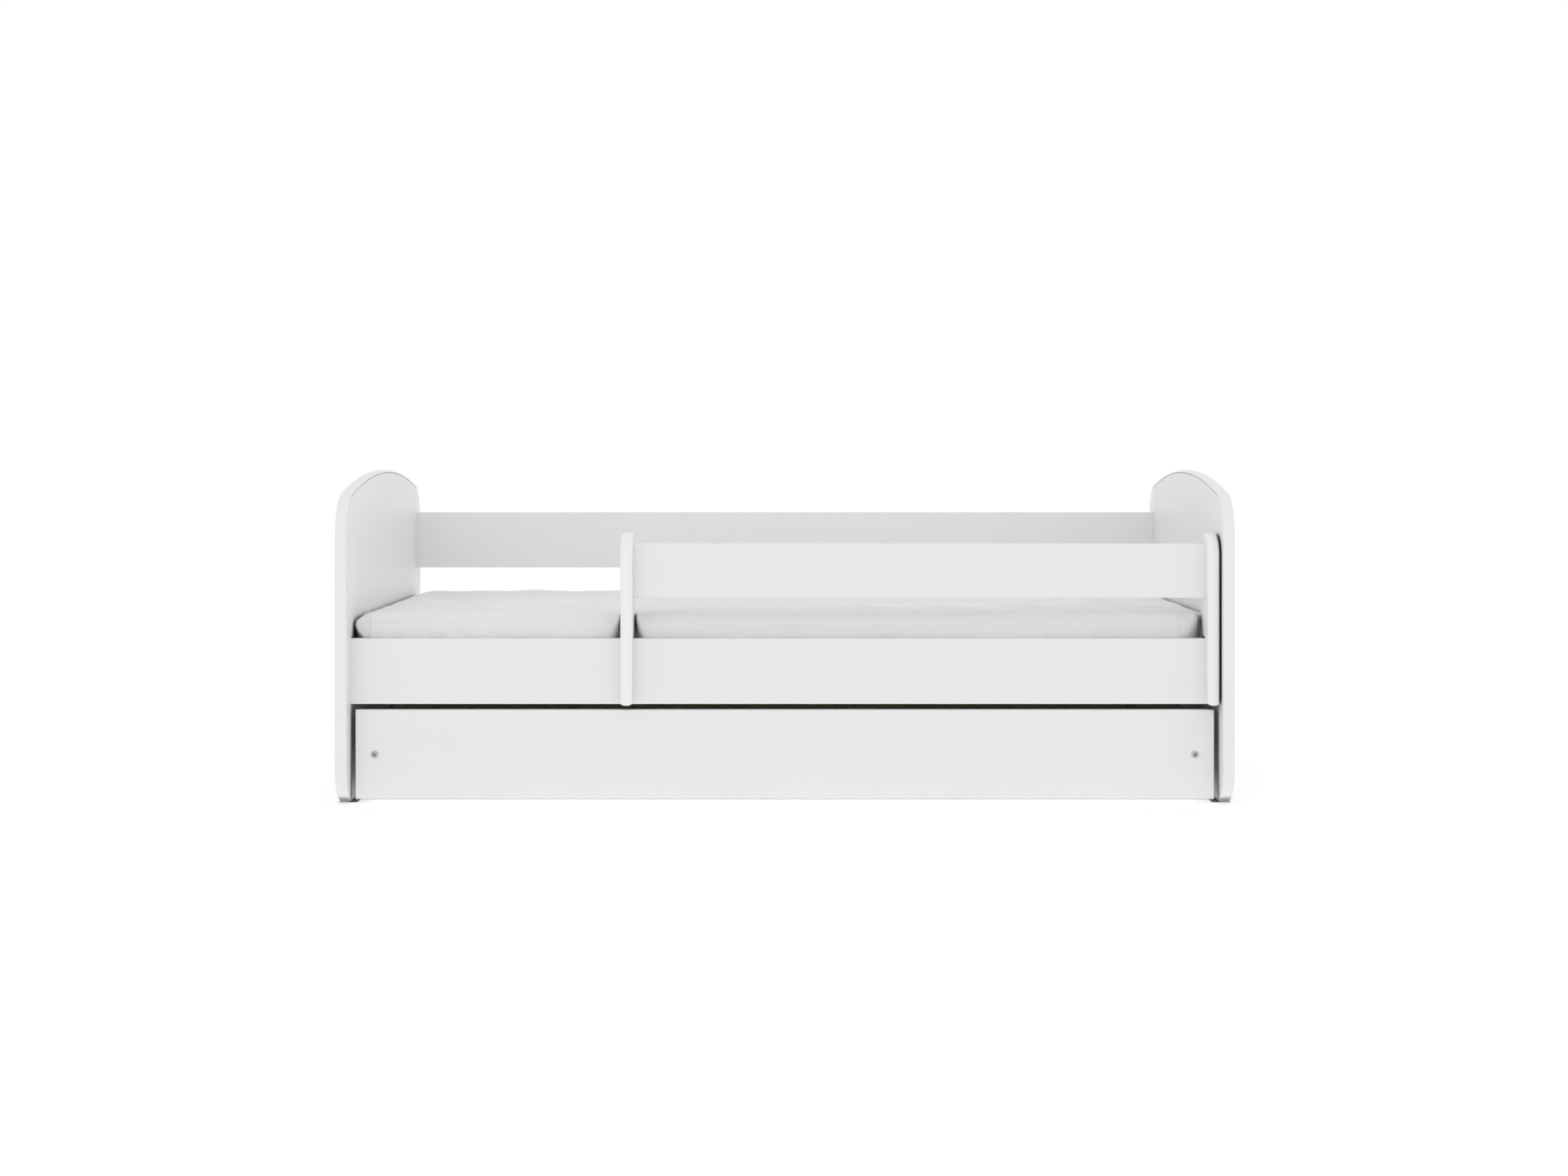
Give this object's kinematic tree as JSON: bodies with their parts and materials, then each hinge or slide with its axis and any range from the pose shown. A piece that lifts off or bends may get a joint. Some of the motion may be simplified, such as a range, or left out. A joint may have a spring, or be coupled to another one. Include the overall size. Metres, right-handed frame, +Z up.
{
  "type": "toddler bed",
  "caption": "Low white child's bed with arched end panels, a partial front guard, a rear guard board, a sheeted mattress on slats and a full-width rolling drawer below.",
  "frame": {"origin": "middle of the bed's outline, on the floor", "axes": "+X along the bed towards the end beside the guard, -Y towards the front with the guard and the drawer, +Z up"},
  "size_m": [1.6528, 0.932, 0.6119],
  "materials": {
    "white_lacquer": "satin white lacquer on board, soft rounded edges",
    "white_chipboard": "matt white foil on chipboard",
    "pine": "planed pine, fine straight grain, no varnish",
    "beech": "turned beech, fluted",
    "hardboard": "thin hardboard, painted white on top",
    "white_plastic": "extruded white plastic strip",
    "webbing": "woven polyester tape",
    "nickel_steel": "nickel plated steel, satin",
    "zinc_steel": "zinc plated steel",
    "brass_insert": "turned brass",
    "foam": "open-cell foam block",
    "sheet_cotton": "white cotton jersey, soft wrinkles",
    "castor_plastic": "moulded black plastic",
    "wheel_plastic": "grey moulded plastic wheel"
  },
  "bodies": {
    "bed": {"end_panel_left": "white_lacquer", "end_panel_right": "white_lacquer", "front_rail": "white_lacquer", "rear_rail": "white_lacquer", "rear_guard_board": "white_lacquer", "guard_board": "white_lacquer", "guard_post_left": "white_lacquer", "guard_post_right": "white_lacquer", "front_cleat": "pine", "rear_cleat": "pine", "slat_01": "pine", "slat_02": "pine", "slat_03": "pine", "slat_04": "pine", "slat_05": "pine", "slat_06": "pine", "slat_07": "pine", "slat_08": "pine", "slat_09": "pine", "slat_10": "pine", "slat_11": "pine", "slat_12": "pine", "slat_straps": "webbing", "strap_staples": "zinc_steel", "slat_screws": "zinc_steel", "cleat_screws": "zinc_steel", "panel_bolts_left": "nickel_steel", "panel_bolts_right": "nickel_steel", "panel_barrel_nuts": "nickel_steel", "post_bolts": "nickel_steel", "post_inserts": "brass_insert", "guard_board_screws": "zinc_steel"},
    "mattress": {"mattress_foam": "foam", "fitted_sheet": "sheet_cotton"},
    "drawer": {"drawer_front": "white_lacquer", "drawer_side_left": "white_chipboard", "drawer_side_right": "white_chipboard", "drawer_back": "white_chipboard", "drawer_bottom_left": "hardboard", "drawer_bottom_right": "hardboard", "drawer_bottom_strip": "white_plastic", "drawer_brace": "pine", "drawer_bolts": "nickel_steel", "drawer_barrel_nuts": "nickel_steel", "drawer_dowels": "beech", "drawer_back_screws": "zinc_steel", "castor_screws": "zinc_steel", "castor_bracket_front_left": "castor_plastic", "castor_bracket_rear_left": "castor_plastic", "castor_bracket_front_right": "castor_plastic", "castor_bracket_rear_right": "castor_plastic", "castor_pin_front_left": "zinc_steel", "castor_pin_rear_left": "zinc_steel", "castor_pin_front_right": "zinc_steel", "castor_pin_rear_right": "zinc_steel"},
    "wheel_front_left": {"castor_wheel_front_left": "wheel_plastic"},
    "wheel_rear_left": {"castor_wheel_rear_left": "wheel_plastic"},
    "wheel_front_right": {"castor_wheel_front_right": "wheel_plastic"},
    "wheel_rear_right": {"castor_wheel_rear_right": "wheel_plastic"}
  },
  "joints": [
    {"name": "drawer_slide", "type": "slide", "parent": "bed", "child": "drawer", "axis": [0, -1, 0], "range_m": [0, 0.74]},
    {"name": "mattress_lift", "type": "slide", "parent": "bed", "child": "mattress", "axis": [0, 0, 1], "range_m": [0, 0.4]},
    {"name": "castor_spin_front_left", "type": "hinge", "parent": "drawer", "child": "wheel_front_left", "pos_m": [-0.7762, -0.333, 0.02], "axis": [1, 0, 0], "continuous": true},
    {"name": "castor_spin_rear_left", "type": "hinge", "parent": "drawer", "child": "wheel_rear_left", "pos_m": [-0.7762, 0.237, 0.02], "axis": [1, 0, 0], "continuous": true},
    {"name": "castor_spin_front_right", "type": "hinge", "parent": "drawer", "child": "wheel_front_right", "pos_m": [0.7762, -0.333, 0.02], "axis": [1, 0, 0], "continuous": true},
    {"name": "castor_spin_rear_right", "type": "hinge", "parent": "drawer", "child": "wheel_rear_right", "pos_m": [0.7762, 0.237, 0.02], "axis": [1, 0, 0], "continuous": true}
  ],
  "couplings": [
    {"joint": "castor_spin_front_left", "follows": "drawer_slide", "rad_per_m": 50},
    {"joint": "castor_spin_rear_left", "follows": "drawer_slide", "rad_per_m": 50},
    {"joint": "castor_spin_front_right", "follows": "drawer_slide", "rad_per_m": 50},
    {"joint": "castor_spin_rear_right", "follows": "drawer_slide", "rad_per_m": 50}
  ]
}
